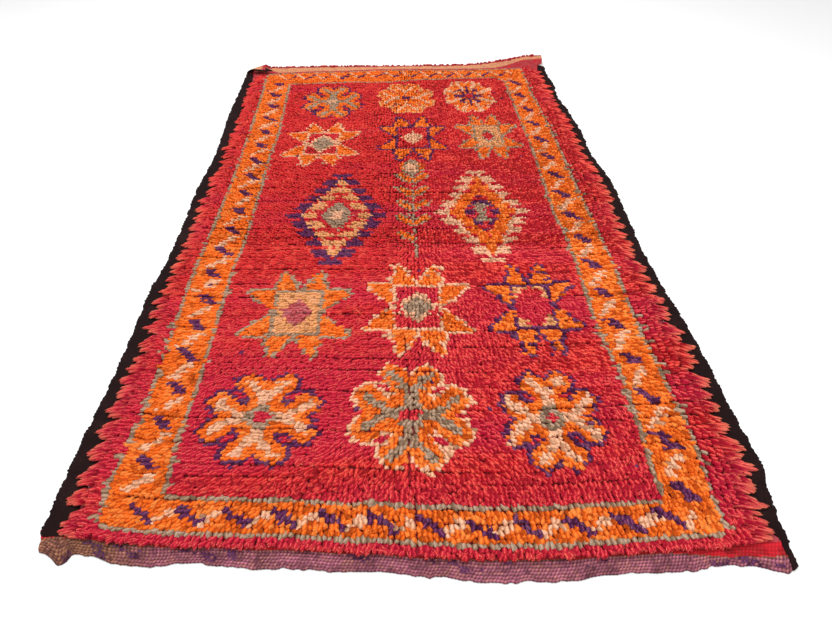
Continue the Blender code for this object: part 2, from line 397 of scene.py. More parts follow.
class Shader:
    """A new material whose nodes are written as Python expressions."""

    def __init__(self, name):
        self.material = bpy.data.materials.new(name)
        self.material.use_nodes = True
        self.tree = self.material.node_tree
        self.surface = self.tree.nodes["Principled BSDF"]

    def node(self, kind, settings=None, sockets=None, output=0):
        """A node of one type, its settings set first, then its sockets' values or links."""
        made = self.tree.nodes.new(kind)
        for name, value in (settings or {}).items():
            setattr(made, name, value)
        self.join(made, sockets or {})
        return Value(self, made.outputs[output])

    def join(self, made, sockets):
        """A node's sockets linked to Values, or set to numbers."""
        for name, value in sockets.items():
            if isinstance(value, Value):
                self.tree.links.new(value.socket, made.inputs[name])
            else:
                made.inputs[name].default_value = value

    def blend(self, first, second, share, way="MIX"):
        """Two colours mixed, by a share that is a number or a Value."""
        settings = {"data_type": "RGBA", "blend_type": way, "clamp_factor": True}
        colours = [c if isinstance(c, Value) else (*c, 1.0) for c in (first, second)]
        return self.node("ShaderNodeMix", settings, {0: share, 6: colours[0], 7: colours[1]}, 2)

    def shade(self, colour, amount):
        """A colour made darker or lighter by a Value."""
        grey = self.node("ShaderNodeCombineColor", None, {0: amount, 1: amount, 2: amount})
        return self.blend(colour, grey, 1.0, "MULTIPLY")

    def place(self):
        """Place on the object, in metres."""
        return self.node("ShaderNodeTexCoord", None, None, "Object")

    def parts(self, vector):
        """The three numbers of a vector."""
        split = self.node("ShaderNodeSeparateXYZ", None, {0: vector}).socket.node
        return [Value(self, output) for output in split.outputs]

    def stored(self, name):
        """The three numbers kept for each point under a name."""
        return self.parts(self.node("ShaderNodeAttribute", {"attribute_name": name}, None, "Vector"))

    def stretched(self, vector, times):
        return self.node("ShaderNodeVectorMath", {"operation": "MULTIPLY"}, {0: vector, 1: times})

    def noise(self, vector, scale, detail=2.0, roughness=0.5):
        sockets = {"Vector": vector, "Scale": scale, "Detail": detail, "Roughness": roughness}
        return self.node("ShaderNodeTexNoise", None, sockets, "Fac")

    def finish(self, colour, roughness, height, depth, sheen=0.0):
        """The material, once its surface has its colour, its roughness and a bump."""
        bump = self.node("ShaderNodeBump", None, {"Strength": 1.0, "Distance": depth, "Height": height})
        self.join(self.surface, {"Base Color": colour, "Roughness": roughness, "Normal": bump})
        self.join(self.surface, {"Sheen Weight": sheen, "Sheen Roughness": 0.6})
        self.join(self.surface, {"Specular IOR Level": 0.06})
        return self.material


def wool(name, deep, main, light, tip, abrash):
    """Wool pile yarn: strands twisted along each tuft, with painted shade at the root and in stripes
    between the plies, painted highlights on the ply crests, and faded at the tip.

    The colours are linear. Where abrash is a colour, bands of that dye lot run over the rug.
    """
    shader = Shader(name)
    place = shader.place()
    _, far, _ = shader.parts(place)
    tone, along, fade = shader.stored("tuft")
    round_x, _, length = shader.stored("ply")
    patch = shader.noise(place, 9.0, 3.0)
    fibre = shader.noise(place, 430.0, 2.0, 0.6)
    ply = (round_x * 4.4 + length * 6.0 + fibre * 2.4 + tone * 6.0).sine() * 0.5 + 0.5
    colour = shader.blend(deep, main, (tone * 1.4 + patch - 0.55).between(0.0, 0.75))
    colour = shader.blend(colour, light, (tone * 1.2 + patch * 0.7 - 0.95).between(0.0, 0.5))
    if abrash:
        bands = shader.noise(shader.stretched(place, (0.35, 2.6, 0.0)), 2.3, 2.0)
        colour = shader.blend(colour, abrash, (bands - far * 0.10).between(0.45, 0.68) * 0.8)
    # Painted highlight: pale streaks of the tip colour on the crests of the plies, stronger on lighter
    # tufts
    glint = (ply * 0.55 + fibre * 0.9 - 0.86).between(0.0, 0.22) * (tone * 0.95)
    colour = shader.blend(colour, tip, glint)
    colour = shader.blend(colour, tip, (along - 0.35).between(0.0, 0.6) * fade * 0.55)
    # Painted shade: darker towards each tuft's root and in stripes along the twist of its plies, and a
    # little brighter towards the far end
    shadow = (along.between(0.0, 0.5) * 0.62 + 0.38) * (far * 0.05 + 1.04)
    colour = shader.shade(colour, shadow * (ply * 0.40 + fibre * 0.6 + 0.46))
    return shader.finish(colour, 0.95 - fibre * 0.12, ply * 0.8 + fibre, 0.0014, sheen=0.02)


class RugColours(bpy.types.PropertyGroup):
    """Colours of the rug's yarns."""
    red: bpy.props.FloatVectorProperty(
        name="Red", description="Main red of the field", subtype="COLOR",
        default=(0.62, 0.004, 0.017), min=0.0, max=1.0)
    crimson: bpy.props.FloatVectorProperty(
        name="Crimson", description="Pinker red of later dye lots", subtype="COLOR",
        default=(0.55, 0.004, 0.044), min=0.0, max=1.0)
    coral: bpy.props.FloatVectorProperty(
        name="Coral", description="Sun-faded red of the tips", subtype="COLOR",
        default=(0.82, 0.052, 0.042), min=0.0, max=1.0)
    orange: bpy.props.FloatVectorProperty(
        name="Orange", description="Border and motif orange", subtype="COLOR",
        default=(0.90, 0.128, 0.007), min=0.0, max=1.0)
    orange_light: bpy.props.FloatVectorProperty(
        name="Light orange", description="Orange where the light and the sun took it",
        subtype="COLOR", default=(0.96, 0.27, 0.050), min=0.0, max=1.0)
    peach: bpy.props.FloatVectorProperty(
        name="Peach", description="Pale pink of outlines", subtype="COLOR",
        default=(0.86, 0.42, 0.23), min=0.0, max=1.0)
    amber: bpy.props.FloatVectorProperty(
        name="Amber", description="Yellowish peach of rings", subtype="COLOR",
        default=(0.82, 0.33, 0.11), min=0.0, max=1.0)
    beige: bpy.props.FloatVectorProperty(
        name="Beige", description="Greyed beige of lines", subtype="COLOR",
        default=(0.40, 0.24, 0.14), min=0.0, max=1.0)
    purple: bpy.props.FloatVectorProperty(
        name="Purple", description="Purple of marks and outlines", subtype="COLOR",
        default=(0.105, 0.014, 0.085), min=0.0, max=1.0)
    rose: bpy.props.FloatVectorProperty(
        name="Rose", description="Dusty pink of a few knots and of the ground", subtype="COLOR",
        default=(0.52, 0.065, 0.075), min=0.0, max=1.0)
    mauve: bpy.props.FloatVectorProperty(
        name="Mauve", description="Wefts of the near end band", subtype="COLOR",
        default=(0.34, 0.105, 0.150), min=0.0, max=1.0)
    brown: bpy.props.FloatVectorProperty(
        name="Brown", description="Faded wefts at the near end band's left", subtype="COLOR",
        default=(0.25, 0.105, 0.062), min=0.0, max=1.0)
    violet: bpy.props.FloatVectorProperty(
        name="Violet", description="Bits of violet yarn in the near end band", subtype="COLOR",
        default=(0.050, 0.010, 0.085), min=0.0, max=1.0)
    straw: bpy.props.FloatVectorProperty(
        name="Straw", description="Pale wefts of the far end band", subtype="COLOR",
        default=(0.80, 0.34, 0.17), min=0.0, max=1.0)
    goat: bpy.props.FloatVectorProperty(
        name="Goat hair", description="Nearly black goat hair", subtype="COLOR",
        default=(0.013, 0.0055, 0.0055), min=0.0, max=1.0)


class RugPile(bpy.types.PropertyGroup):
    """Sizes of the pile's tufts."""
    tuft_wide: bpy.props.FloatProperty(
        name="Tuft width", description="Width of one tuft", default=0.0124,
        unit="LENGTH", min=0.004, max=0.03)
    tuft_reach: bpy.props.FloatProperty(
        name="Tuft reach", description="How far a tuft leans over", default=0.0208,
        unit="LENGTH", min=0.0, max=0.04)
    tuft_high: bpy.props.FloatProperty(
        name="Tuft height", description="Height of a tuft's middle over its root",
        default=0.0092, unit="LENGTH", min=0.002, max=0.03)
    unevenness: bpy.props.FloatProperty(
        name="Unevenness", description="Share by which tufts differ", default=0.20,
        subtype="FACTOR", min=0.0, max=0.5)
    seed: bpy.props.IntProperty(name="Seed", description="Seed of the tufts' chances", default=388)


class RugStage(bpy.types.PropertyGroup):
    """Floor, light and camera."""
    floor_colour: bpy.props.FloatVectorProperty(
        name="Floor", description="Colour of the floor", subtype="COLOR",
        default=(0.96, 0.96, 0.96), min=0.0, max=1.0)
    light_power: bpy.props.FloatProperty(
        name="Key light", description="Power of the light above", default=95.0,
        unit="POWER", min=0.0)
    camera_place: bpy.props.FloatVectorProperty(
        name="Camera", description="Where the camera stands", unit="LENGTH",
        subtype="TRANSLATION", default=(-0.0308, -2.1538, 1.3509))
    camera_lens: bpy.props.FloatProperty(
        name="Lens", description="Focal length in millimetres", default=27.69, min=1.0)


class Chart:
    """The colours of the knots, and where each knot's tuft is rooted."""

    def __init__(self):
        rows = (np.arange(KNOT_ROWS) + 0.5) / KNOT_ROWS
        kinds, shares = self._columns()
        self.columns = len(kinds)
        nominal = np.interp(np.arange(self.columns), [0, self.columns - 1],
                            [FIRST_KNOT_X, LAST_KNOT_X])
        near = read(NEAR_END, "pile", nominal)
        far = read(FAR_END, "pile", nominal)
        self.along = mix(near[None, :], far[None, :], rows[:, None])
        bounds = [left_edge(self.along) + MARGIN_IN]
        bounds += [read(GUIDES, side, self.along) for side in Guide._fields[1:]]
        bounds.append(right_edge(self.along) - MARGIN_IN)
        bounds = np.stack(bounds)
        zone = np.array(kinds)
        picked = np.arange(self.columns)
        low = bounds[zone, :, picked].T
        high = bounds[zone + 1, :, picked].T
        self.across = mix(low, high, np.array(shares)[None, :])
        self.colour = np.full(self.across.shape, RED)
        self.knot_long = (far.mean() - near.mean()) / KNOT_ROWS

    def _columns(self):
        """For each column of knots, the stretch between guide lines that it is in, and where."""
        kinds, shares = [], []
        counts = (MARGIN_KNOTS, BORDER_KNOTS, FIELD_KNOTS, BORDER_KNOTS, MARGIN_KNOTS)
        for kind, count in enumerate(counts):
            if kind:
                kinds.append(kind)
                shares.append(0.0)
            for knot in range(count):
                kinds.append(kind)
                margin = kind in (0, len(counts) - 1)
                step = (knot + (0.5 if kind == 0 else 1.0)) / (count + (0.5 if margin else 1.0))
                shares.append(step)
        return kinds, shares

    def offsets(self, across, along):
        """Knots' distances from the knot nearest a place, in knots."""
        gap = (self.across - across) ** 2 + (self.along - along) ** 2
        row, column = np.unravel_index(np.argmin(gap), gap.shape)
        down, side = np.indices(self.colour.shape)
        return side - column, down - row

    def half(self, wide, high):
        """Half a motif's width and height, in knots."""
        return wide / 2.0 / KNOT_WIDE, high / 2.0 / self.knot_long

    def round(self, across, along, wide, high):
        """Knots' places in a round motif, as shares of its half sizes, with far and angle."""
        dx, dy = self.offsets(across, along)
        reach_x, reach_y = self.half(wide, high)
        u, v = dx / reach_x, dy / reach_y
        return u, v, np.hypot(u, v), np.arctan2(v, u)

    def paint(self, mask, colour):
        self.colour[mask] = colour

    def grown(self, mask):
        """A mask with the knots beside it."""
        wider = mask.copy()
        wider[1:] |= mask[:-1]
        wider[:-1] |= mask[1:]
        wider[:, 1:] |= mask[:, :-1]
        wider[:, :-1] |= mask[:, 1:]
        return wider

    def outline(self, mask, colour):
        self.paint(self.grown(mask) & ~mask, colour)


def star(chart, across, along, wide, high, ears, edge, square, heart, heart_edge, full):
    """An eight-pointed star: a square with two ears on each side, and a diamond inside."""
    dx, dy = (abs(part) for part in chart.offsets(across, along))
    reach_x, reach_y = chart.half(wide, high)
    half_x = round(reach_x * 0.47)
    half_y = round(reach_y * 0.50)
    inside = (dx <= half_x) & (dy <= half_y)
    up = (dy - half_y) / (reach_y - half_y)
    out = (dx - half_x) / (reach_x - half_x)
    ear = (up > 0) & (up <= 1) & (dx >= (half_x - 1.5) * up) & (dx <= half_x - up + 0.5)
    ear |= (out > 0) & (out <= 1) & (dy >= (half_y - 0.5) * out) & (dy <= half_y)
    chart.outline(ear | inside, edge)
    chart.paint(ear, ears)
    chart.paint(inside, square)
    chart.paint(inside & ((dx >= half_x) | (dy >= half_y)), edge)
    diamond = np.hypot(dx / (half_x * full), dy / (half_y * full * 0.86))
    diamond = mix(diamond, dx / (half_x * full) + dy / (half_y * full), 0.6)
    within = (dx < half_x) & (dy < half_y)
    chart.paint((diamond <= 1.0) & within, heart_edge)
    chart.paint((diamond <= 0.72) & within, heart)


def rosette(chart, across, along, wide, high, petals, edge, arms, ring, heart, thick):
    """A round flower of eight lobes, with an arm to each side that forks into two of them."""
    u, v, far, angle = chart.round(across, along, wide, high)
    lobes = far <= 0.72 + 0.26 * abs(np.sin(4.0 * angle))
    chart.outline(lobes, edge)
    chart.paint(lobes, petals)
    aslant = abs(abs(u) - abs(v))
    chart.paint((aslant < 0.13) & (far > 0.46) & (far < 0.80), edge)
    chart.paint((aslant < 0.06) & (far > 0.53) & (far < 0.74), RED)
    out = np.maximum(abs(u), abs(v))
    beside = np.minimum(abs(u), abs(v))
    stalk = (beside < thick) & (out < 0.46)
    fork = (abs(beside - 0.85 * (out - 0.40)) < thick + 0.01) & (out > 0.40) & (out < 0.82)
    chart.paint((stalk | fork) & lobes, arms)
    chart.paint(far < 0.24, ring)
    chart.paint(far < 0.11, heart)


def snowflake(chart, across, along, wide, high, petals, edge, arms, heart):
    """A round flower with eight thin branching arms."""
    u, v, far, angle = chart.round(across, along, wide, high)
    between_arms = abs(np.sin(4.0 * angle))
    lobes = far <= 0.78 + 0.20 * between_arms
    chart.outline(lobes, edge)
    chart.paint(lobes, petals)
    chart.paint((between_arms > 0.90) & (far > 0.35) & lobes, PEACH)
    spokes = (abs(u) < 0.07) | (abs(v) < 0.06) | (abs(abs(u) - abs(v)) < 0.08)
    chart.paint(spokes & (far < 0.62), arms)
    barbs = (abs(far - 0.45) < 0.055) & (between_arms < 0.7)
    chart.paint(barbs, arms)
    chart.paint(far < 0.13, heart)


def lattice(chart, across, along, wide, high, hooks, ring, spots, gaps, joined):
    """A diamond of slanting bars: hooks outside, a ring of bars, and spots within.

    The ring's bars are joined by a strip as many knots wide as joined says.
    """
    dx, dy = (abs(part) for part in chart.offsets(across, along))
    reach_x, reach_y = chart.half(wide, high)
    edge = (reach_x - 3.0) * (1.0 - dy / (reach_y - 1.0))
    bar = (dy + 1.6) % 5.4 < 3.3
    inside = dy <= reach_y
    chart.paint(inside & bar & (dx >= edge - 1.2) & (dx <= edge + 3.6), hooks)
    chart.paint(inside & ~bar & (dx >= edge - 0.6) & (dx <= edge + 0.5), hooks)
    chart.paint((edge > 0) & (dx <= edge - 1.0), gaps)
    chart.paint((edge > 0) & bar & (dx <= edge - 1.0) & (dx >= edge - 6.6), ring)
    chart.paint((edge > 0) & ~bar & (dx <= edge - 2.0) & (dx >= edge - 2.0 - joined), ring)
    chart.paint((edge > 7) & bar & (dx <= edge - 5.6) & (dx >= edge - 8.4), spots)


def medallion(chart, across, along, half_x, half_y, pinch, colour, core):
    """The middle of a hooked diamond, which pinch turns into an hourglass."""
    dx, dy = (abs(part) for part in chart.offsets(across, along))
    body = dx / half_x + (1.0 - 2.0 * pinch) * dy / half_y <= 1.0 - pinch
    chart.paint(body & (dy <= half_y), colour)
    chart.paint((dx <= half_x * 0.36) & (dy <= half_y * 0.3), core)


def stem(chart, across, low, high):
    """A flower on a stem, with pairs of slanting leaves down it, the last pair lacking one."""
    dx, dy = chart.offsets(across, high)
    long = round((high - low) / chart.knot_long)
    down = -dy
    pairs = 5
    for pair in range(pairs):
        top = 13 + pair * 9
        slant = down - top + abs(dx) * 1.2
        inside = (abs(dx) >= 1) & (abs(dx) <= 4) & (slant >= 0) & (slant <= 3)
        if pair == pairs - 1:
            inside &= dx < 0
        chart.outline(inside, BEIGE)
        chart.paint(inside, ORANGE)
    chart.paint((dx == 0) & (down >= 4) & (down <= long), BEIGE)
    head = np.hypot(dx / 4.4, (down - 4) / 6.0)
    ragged = head + 0.16 * ((dx + down) % 2)
    chart.paint(ragged <= 1.0, BEIGE)
    chart.paint((head <= 1.0) & (abs(dx) >= 3) & (down % 3 > 0), ORANGE)
    chart.paint(ragged <= 0.62, PEACH)


def side_border(chart, first, turns, per_metre, slowing):
    """Zigzag marks up a side border, from its first column, purple and peach by turns.

    The turns are counted from the rug's middle, and come more slowly towards its far end.
    """
    for row in range(NEAR_LINE_ROW + NEAR_BORDER_ROWS + 1, KNOT_ROWS - FAR_MARKS_START - 3):
        along = chart.along[row, first + BORDER_KNOTS // 2]
        phase = (turns + per_metre * along - slowing * along * along + 0.25) % 1.0
        rising = phase >= 0.5
        swing = (phase % 0.5) * 2.0
        place = 0.6 + 4.8 * (swing if rising else 1.0 - swing)
        column = first + 1 + int(round(place))
        if rising:
            chart.colour[row, column:column + 3 - row % 2] = PEACH
        elif 0.12 < swing < 0.86:
            chart.colour[row, column:column + 3] = PURPLE


def end_border(chart, rows, first, last, pitch, purple_rises):
    """Zigzag marks along an end border, over its rows, purple and peach by turns."""
    tall = len(rows) - 1
    for column in range(first, last):
        phase = ((column - first) / pitch) % 1.0
        rising = phase >= 0.5
        swing = (phase % 0.5) * 2.0
        place = swing if rising else 1.0 - swing
        row = rows[int(round(place * (tall - 1)))]
        chart.colour[row:row + 2, column] = PURPLE if rising == purple_rises else PEACH


def slipped(chart, chance):
    """Knots that took the colour of the one beside them, as hand knotting leaves them."""
    shape = chart.colour.shape
    step = chance.choice((-1, 0, 1), p=(0.07, 0.86, 0.07), size=shape)
    column = np.clip(np.arange(shape[1])[None, :] + step, 0, shape[1] - 1)
    chart.colour = np.take_along_axis(chart.colour, column, axis=1)
    chart.paint(chance.random(shape) < STRAY_SHARE, PURPLE)


def border(chart):
    """The orange border between pale lines, with its zigzag marks."""
    left = MARGIN_KNOTS
    right = chart.columns - MARGIN_KNOTS - 1
    inner = BORDER_KNOTS + 1
    last_near = NEAR_LINE_ROW + NEAR_BORDER_ROWS + 1
    far_line = read(FAR_LINE, "inner", chart.across)
    columns = np.arange(chart.columns)[None, :]
    rows = np.arange(KNOT_ROWS)[:, None]
    inside = (columns > left) & (columns < right) & (rows > NEAR_LINE_ROW) & (rows < KNOT_ROWS - 1)
    field = (columns > left + inner) & (columns < right - inner) & (rows > last_near)
    field = field & (chart.along < far_line)
    chart.outline(inside, BEIGE)
    chart.paint(inside & ~field, ORANGE)
    chart.outline(field, BEIGE)
    side_border(chart, left + 1, 0.21, 7.54, 0.21)
    side_border(chart, right - inner, 0.66, 6.41, 0.17)
    first, last = left + 6, right - 5
    end_border(chart, range(NEAR_LINE_ROW + 2, last_near - 1), first, last, 9.0, False)
    far_rows = range(KNOT_ROWS - FAR_MARKS_START, KNOT_ROWS - FAR_MARKS_END)
    end_border(chart, far_rows, first, last, 8.0, True)


def knot_chart(chance):
    """Every knot of the rug with its colour: the border, and the motifs from the far end on."""
    chart = Chart()
    border(chart)
    rosette(chart, -0.337, 0.980, 0.316, 0.405, ORANGE, PURPLE, BEIGE, BEIGE, PEACH, 0.08)
    rosette(chart, 0.022, 1.005, 0.297, 0.374, ORANGE, AMBER, PEACH, ORANGE, PURPLE, 0.07)
    snowflake(chart, 0.347, 1.018, 0.270, 0.387, ORANGE, PEACH, PURPLE, RED)
    star(chart, -0.361, 0.520, 0.335, 0.400, ORANGE, PEACH, RED, BEIGE, PEACH, 0.86)
    star(chart, 0.040, 0.566, 0.306, 0.414, ORANGE, PURPLE, RED, PEACH, PEACH, 0.66)
    star(chart, 0.387, 0.575, 0.293, 0.430, ORANGE, BEIGE, AMBER, RED, BEIGE, 0.62)
    stem(chart, 0.031, -0.342, 0.335)
    lattice(chart, -0.259, -0.075, 0.387, 0.630, PURPLE, AMBER, RED, RED, 1.0)
    medallion(chart, -0.259, -0.075, 5.4, 9.0, 0.0, BEIGE, PEACH)
    lattice(chart, 0.284, -0.071, 0.365, 0.630, PEACH, ORANGE, PURPLE, RED, 3.2)
    medallion(chart, 0.284, -0.071, 3.8, 5.4, 0.62, BEIGE, BEIGE)
    star(chart, -0.352, -0.623, 0.348, 0.396, ORANGE, BEIGE, AMBER, ROSE, AMBER, 0.86)
    star(chart, 0.026, -0.609, 0.330, 0.425, ORANGE, PEACH, RED, BEIGE, PEACH, 0.80)
    star(chart, 0.396, -0.618, 0.290, 0.430, ORANGE, PURPLE, AMBER, RED, RED, 1.12)
    rosette(chart, -0.401, -1.042, 0.333, 0.326, ORANGE, PURPLE, PEACH, BEIGE, RED, 0.09)
    rosette(chart, -0.010, -1.054, 0.337, 0.374, ORANGE, PEACH, BEIGE, BEIGE, RED, 0.08)
    rosette(chart, 0.364, -1.076, 0.277, 0.351, ORANGE, PURPLE, PEACH, BEIGE, RED, 0.10)
    slipped(chart, chance)
    return chart


# Shape of a tuft: rings as (share of its reach, share of its height, half width and half
# thickness as shares of its width), with its tip last
Ring = namedtuple("Ring", "reach rise half_wide half_thick")
TUFT = (
    Ring(-0.06, 0.00, 0.42, 0.38),
    Ring(0.18, 0.66, 0.52, 0.44),
    Ring(0.76, 1.06, 0.50, 0.40),
    Ring(1.00, 0.62, 0.00, 0.00),
)
FAR_TUFT = (TUFT[0], TUFT[2], TUFT[3])
STRAND = (
    Ring(-0.05, 0.50, 0.50, 0.42),
    Ring(0.20, 1.00, 0.55, 0.40),
    Ring(0.50, 0.85, 0.46, 0.32),
    Ring(0.86, 0.66, 0.34, 0.22),
    Ring(1.00, 0.58, 0.00, 0.00),
)


def tufts(roots, headings, shape, wide, reach, high, twist):
    """Points of many tufts, in flat places, as an array of (tuft, point, 3 numbers).

    A heading is the turn of a tuft's lean from straight to the near end, in radians.
    """
    turn = 2.0 * math.pi * np.arange(TUFT_SIDES) / TUFT_SIDES
    level = np.zeros_like(headings)
    forward = np.stack([np.sin(headings), -np.cos(headings), level], axis=-1)
    sideways = np.stack([np.cos(headings), np.sin(headings), level], axis=-1)
    up = np.array([0.0, 0.0, 1.0])
    centres = []
    for ring in shape:
        bend = twist * ring.reach ** 2
        centre = roots + forward * (reach * ring.reach)[:, None]
        centre = centre + sideways * bend[:, None] + up * (high * ring.rise)[:, None]
        centres.append(centre)
    points = []
    for place, ring in enumerate(shape[:-1]):
        before = centres[max(place - 1, 0)]
        tangent = centres[place + 1] - before
        tangent /= np.linalg.norm(tangent, axis=1, keepdims=True)
        normal = np.cross(sideways, tangent)
        for angle in turn:
            out = sideways * (wide * ring.half_wide * math.cos(angle))[:, None]
            out = out + normal * (wide * ring.half_thick * math.sin(angle))[:, None]
            points.append(centres[place] + out)
    points.append(centres[-1])
    points = np.stack(points, axis=1)
    points[..., 2] = np.maximum(points[..., 2], LEAST_HIGH)
    return points


def tuft_faces(shape):
    """Triangles of one tuft, closed at its root, with its tip as the last point."""
    sides = TUFT_SIDES
    faces = [(0, step + 1, step) for step in range(1, sides - 1)]
    for ring in range(len(shape) - 2):
        for side in range(sides):
            here = ring * sides + side
            beside = ring * sides + (side + 1) % sides
            faces.append((here, beside, beside + sides))
            faces.append((here, beside + sides, here + sides))
    base = (len(shape) - 2) * sides
    for side in range(sides):
        faces.append((base + side, base + (side + 1) % sides, base + sides))
    return np.array(faces)


def tuft_cells(shape, count):
    """Where each corner of each triangle lies in a square sheet of one cell a tuft."""
    faces = tuft_faces(shape)
    tip = faces.max()
    column = np.where(faces == tip, 0.5, (faces % TUFT_SIDES) / TUFT_SIDES)
    wraps = (faces % TUFT_SIDES == 0) & (faces != tip)
    partner = (faces % TUFT_SIDES == TUFT_SIDES - 1) & (faces != tip)
    column = np.where(wraps & partner.any(axis=1, keepdims=True), 1.0, column)
    row = (faces // TUFT_SIDES) / (len(shape) - 1)
    cells_a_side = math.ceil(math.sqrt(count))
    number = np.arange(count)[:, None, None]
    border = 0.06
    full = 1.0 - 2.0 * border
    u = (number % cells_a_side + border + full * column[None]) / cells_a_side
    v = (number // cells_a_side + border + full * row[None]) / cells_a_side
    return np.stack([u, v], axis=-1)


def tuft_piece(name, points, shape, tone, fade, material):
    """One joined object of many tufts, with their tones and a tidy map."""
    count, size = points.shape[:2]
    faces = tuft_faces(shape)[None] + (np.arange(count) * size)[:, None, None]
    spots = laid(points[..., 0], points[..., 1], points[..., 2]).reshape(-1, 3)
    piece = add_piece(name, spots, faces.reshape(-1, 3), material)
    ring = np.minimum(np.arange(size) // TUFT_SIDES, len(shape) - 1) / (len(shape) - 1)
    values = np.empty((count, size, 3))
    values[..., 0] = tone[:, None]
    values[..., 1] = ring[None, :]
    values[..., 2] = fade[:, None]
    write_yarn(piece, "tuft", values)
    turn = 2.0 * math.pi * (np.arange(size) % TUFT_SIDES) / TUFT_SIDES
    ply = np.stack([np.cos(turn), np.sin(turn), ring], axis=-1)
    write_yarn(piece, "ply", np.broadcast_to(ply, (count, size, 3)))
    cells = piece.data.uv_layers.new(name="OFBake")
    cells.data.foreach_set("uv", tuft_cells(shape, count).astype(np.float32).ravel())
    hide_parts("pile")
    return piece


def pile_headings(across, along, chance):
    """Which way tufts lean: out from the middle and to the near end, by turns in places."""
    fan = 0.95 * np.tanh(across / 0.11) * mix(0.30, 1.0, ease((along + 1.42) / 0.30))
    side = ease((abs(across) - 0.66) / 0.12) * 0.45 * np.sign(across)
    drift = 0.22 * np.sin(3.1 * along + 4.0 * across) + 0.16 * np.sin(9.0 * along - 6.0 * across)
    return fan + side + drift + chance.normal(0.0, 0.24, across.shape)


def gaps_between_rows(across, chance):
    """Shift of each knot along the rug, which opens broken dark lines between some rows.

    The gaps are wider in the near half, and each shares its shift among the rows beside it.
    """
    shift = np.zeros(across.shape)
    row = 4
    while row < KNOT_ROWS:
        depth = 0.0032 if row < KNOT_ROWS * 0.55 else 0.0022
        phase, waves = chance.uniform(0.0, 6.0), chance.uniform(3.0, 8.0)
        open_here = 0.35 + 0.65 * np.sin(waves * across[row] + phase)
        for step, share in enumerate((0.2, 0.5, 1.0, -1.0, -0.5, -0.2)):
            if row + step < KNOT_ROWS:
                shift[row + step] -= share * depth * open_here
        row += int(chance.integers(3, 8))
    return shift


def parting(across, along):
    """How far tufts stand aside from the fold line down the middle of the near half."""
    sway = 0.007 * np.sin(17.0 * along) + 0.004 * np.sin(61.0 * along)
    aside = (across - PARTING_X - sway) / PARTING_HALF_WIDE
    fade = ease((PARTING_ENDS_AT - along) / PARTING_FADE)
    return np.sign(aside) * PARTING_ASIDE * fade * np.exp(-aside * aside)


def pressed(across, along):
    """Share by which the pile is pressed under the turned corner."""
    share = ease((PRESSED_TO_X - across) / PRESSED_SLOPE)
    return share * ease((along - PRESSED_FROM_Y) / PRESSED_SLOPE)


Knots = namedtuple("Knots", "across along heading wide reach high twist tone")


def knotted(chart, sizes, chance):
    """Where each knot of the chart sits, and the lean, the sizes and the tone of its tuft."""
    shape = chart.colour.shape
    shift = gaps_between_rows(chart.across, chance)
    along = chart.along + shift + chance.normal(0.0, 0.0012, shape)
    across = chart.across + chance.normal(0.0, 0.0012, shape)
    across += 0.0012 * np.sin(np.arange(shape[0]) * 2.4)[:, None]
    across += parting(across, along)
    heading = pile_headings(across, along, chance)
    low = mix(1.0, PRESSED_TOP / PILE_TOP, pressed(across, along))
    uneven = sizes.unevenness
    wide = sizes.tuft_wide * (1.05 - 0.04 * along + chance.normal(0.0, uneven * 0.6, shape))
    reach = sizes.tuft_reach * (1.0 + chance.normal(0.0, uneven, shape))
    high = sizes.tuft_high * low * (1.0 + chance.normal(0.0, uneven * 0.6, shape))
    twist = chance.normal(0.0, 0.0022, shape)
    row_tone = chance.uniform(-0.12, 0.12, shape[0])[:, None]
    tone = np.clip(0.5 + row_tone + chance.normal(0.0, 0.2, shape), 0.0, 1.0)
    return Knots(across, along, heading, wide, reach, high, twist, tone)


def yarn_materials(colours):
    """One wool for each colour of the chart."""
    def darker(colour, share):
        return tuple(part * share for part in colour)

    def lighter(colour, share):
        return tuple(mix(part, 1.0, share) for part in colour)

    made = []
    for name in YARN_NAMES:
        main = tuple(getattr(colours, name))
        # The tip colour is that of the faded tips and also of the painted highlights on the ply crests
        light, tip, abrash = lighter(main, 0.08), lighter(main, 0.20), None
        if name == "red":
            light, abrash = tuple(colours.coral), tuple(colours.crimson)
            tip = tuple(mix(part, pale, 0.42) for part, pale in zip(light, colours.peach))
        if name == "purple":
            light, tip = lighter(main, 0.03), tuple(colours.mauve)
        if name == "orange":
            light, tip = tuple(colours.orange_light), tuple(colours.orange_light)
        made.append(wool(name + " wool", darker(main, 0.5), main, light, tip, abrash))
    return made


def reported(operator, work):
    """Run an operator's work, and stop the script if it made nothing."""
    if not work():
        raise RuntimeError(operator.bl_label + " made nothing")
    return {"FINISHED"}


